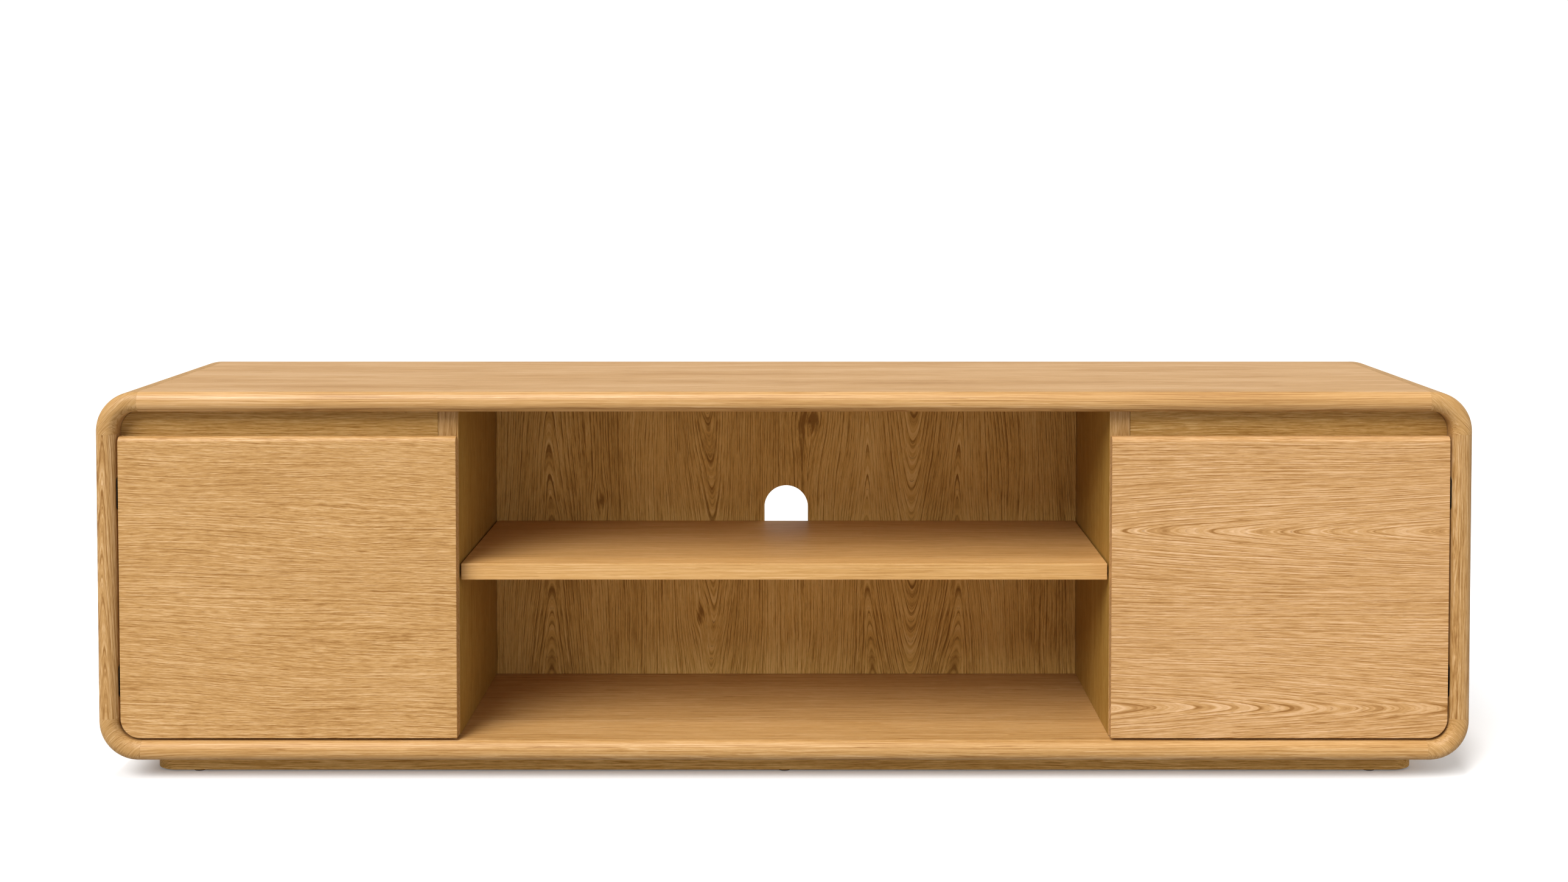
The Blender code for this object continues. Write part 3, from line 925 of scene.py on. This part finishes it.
def makeFinishes():
    doorLow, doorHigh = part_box("right_door")
    doorTall = doorHigh.z - doorLow.z
    doorMiddle = (doorLow.x + doorHigh.x) / 2

    def shade(amount, blue=1.0):
        # the oak's own colours, made lighter or darker
        return {key: (*(part * amount for part in oakBase[key][:2]), oakBase[key][2] * amount * blue)
                for key in ("dark", "middle", "light", "pore")}

    doorFace = {"run": "xzy", "face": doorLow.y}
    finishes = {
        # base colours lifted a little above the doors': painted light and painted sheen on the top, which
        # faces the light from above
        "top_panel": makeOak("oakTop", run="xyz", face=cadHigh.z, seed=2.0, rings=0.50, fine=0.6,
                             coarse=0.7, pores=0.15, relief=0.25, ringGap=0.0080, broad=0.8,
                             flecks=0.1, dashes=0.2, turn=2.0, sheen=0.42, roughness=(0.30, 0.48),
                             grooves=0.4, **shade(1.06, 1.03)),
        "bottom_panel": makeOak("oakBottom", run="xzy", face=cadLow.y, seed=14.0, rings=0.45,
                                fine=0.7, pores=0.25, relief=0.2, ringGap=0.0045, dashes=0.25,
                                sheen=0.32, **shade(0.98)),
        "left_side": makeOak("oakLeftSide", run="zxy", face=cadLow.y, seed=21.0, rings=0.9, sway=0.03,
                             wobble=0.003, coarse=0.8, ringGap=0.0040,
                             figures=((-0.890, 0.30, 0.003, 0.06),), **shade(0.92)),
        # darker than the left side: painted shade, for light that comes from the left
        "right_side": makeOak("oakRightSide", run="zxy", face=cadLow.y, seed=24.0, rings=0.6,
                              coarse=0.8, ringGap=0.0045, wobble=0.002, **shade(0.86)),
        "divider": makeOak("oakDivider", run="zyx", seed=27.0, rings=0.5, pores=0.3,
                           **shade(0.92, 0.95)),
        # a darker, less blue copy of the divider oak for the niche faces: painted shade of the niche
        "nicheSidePaintedShade": makeOak("oakNicheSidePaintedShade", run="zyx", seed=27.0, rings=0.5, pores=0.3, fine=1.2,
                             sheen=0.06, **shade(0.72, 0.6)),
        # darker and less blue than the doors: painted shade under the top's nose
        "rail": makeOak("oakRail", run="xzy", seed=33.0, rings=0.4, pores=0.6, sheen=0.1,
                        **shade(0.90, 0.82)),
        "back": makeOak("oakBack", run="zxy", seed=41.0, rings=0.85, ringGap=0.0040, pores=0.6,
                        relief=0.35, sheen=0.05, grooves=0.4, broad=0.8, coarse=0.55, sway=0.05,
                        wobble=0.002,
                        figures=((0.30, 0.24, 0.010, -0.08), (0.005, 0.20, 0.010, -0.09),
                                 (-0.225, 0.30, 0.008, 0.07)),
                        knots=((0.150, 0.430, 0.020), (-0.010, 0.140, 0.016), (-0.165, 0.310, 0.012)),
                        dark=(0.33, 0.165, 0.036), middle=(0.72, 0.435, 0.120), light=(0.88, 0.60, 0.23)),
        "shelf": makeOak("oakShelf", run="xyz", seed=52.0, rings=0.3, fine=0.5, coarse=0.5, pores=0.12,
                         relief=0.15, ringGap=0.006, dashes=0.2, turn=2.2, sheen=0.25, **shade(1.12)),
        "left_door": makeOak("oakLeftDoor", seed=63.0, rings=0.60, fineLength=0.020, coarse=0.8,
                             pores=0.6, dashes=0.8, wobble=0.0020, sway=0.036, slope=0.03, **doorFace),
        # lighter and bluer than the left door: painted light, for the right door being lit more
        "right_door": makeOak("oakRightDoor", seed=71.0, rings=0.85, fineLength=0.034, sway=0.014,
                              figures=((doorLow.z + 0.10 * doorTall, doorMiddle - 0.12, 0.010, 0.060),
                                       (doorHigh.z - 0.31 * doorTall, doorMiddle, 0.008, -0.065)),
                              **doorFace, **shade(1.04, 1.10)),
        "plinth": makeOak("oakPlinth", run="xzy", seed=83.0, sheen=0.1, **shade(1.35, 0.8)),
        "plinthSide": makeOak("oakPlinthSide", run="yzx", seed=87.0, sheen=0.1, **shade(1.35, 0.8)),
        "hingeSteel": makeSteel("hingeSteel", (0.045, 0.042, 0.040), 0.42),
        "linkSteel": makeSteel("linkSteel", (0.055, 0.052, 0.050), 0.36),
        "screwSteel": makeSteel("screwSteel", (0.075, 0.072, 0.070), 0.30),
        "plateSteel": makeSteel("plateSteel", (0.58, 0.58, 0.60), 0.38),
        "pinSteel": makeSteel("pinSteel", (0.64, 0.63, 0.60), 0.34),
        "magnet": makeSteel("magnetSteel", (0.36, 0.36, 0.37), 0.42),
        "felt": makeFelt("glideFelt", (0.16, 0.14, 0.13)),
    }
    slants = {"left_top": 1, "right_top": -1, "left_bottom": 1, "right_bottom": -1}
    for number, (corner, slant) in enumerate(slants.items()):
        finishes[corner] = makeOak("oakBlock_" + corner, run="xzy", diagonal=slant,
                                   seed=91.0 + 6 * number, rings=0.25, dashes=0.4, fine=1.0,
                                   pores=0.5, ringGap=0.0035, wobble=0.004, **shade(0.90, 0.97))
    print("finishes mixed")
    return finishes


makeStudio()
finishes = makeFinishes()
panels = makeCase(finishes)
boards = makeInside(finishes, panels)
makePlinth(finishes)
doors = makeDoors()
screw = makeHinges(finishes, panels, doors)
makeCatches(finishes, boards, screw)
throwAway(screw)

for side in sides:
    complete(panels[side], finishes[side + "_side"], "root", "oak", [side + "_side_panel"])
    complete(doors[side], finishes[side + "_door"], side + "_door", "oak", [side + "_door"])
for name, board in boards.items():
    kind = next(word for word in ("divider", "rail", "back", "shelf") if word in name)
    complete(board, finishes[kind], "root", "oak_back" if kind == "back" else "oak", [name])

# the dividers' niche faces get the darker copy of the oak, painted shade of the niche; their lipped fronts
# keep the lighter one
for side, sign in sides.items():
    divider = boards[side + "_divider"]
    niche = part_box(side + "_divider")[0 if sign > 0 else 1].x
    divider.data.materials.append(finishes["nicheSidePaintedShade"])
    for face in divider.data.polygons:
        if abs(face.center.x - niche) < tiny:
            face.material_index = 1
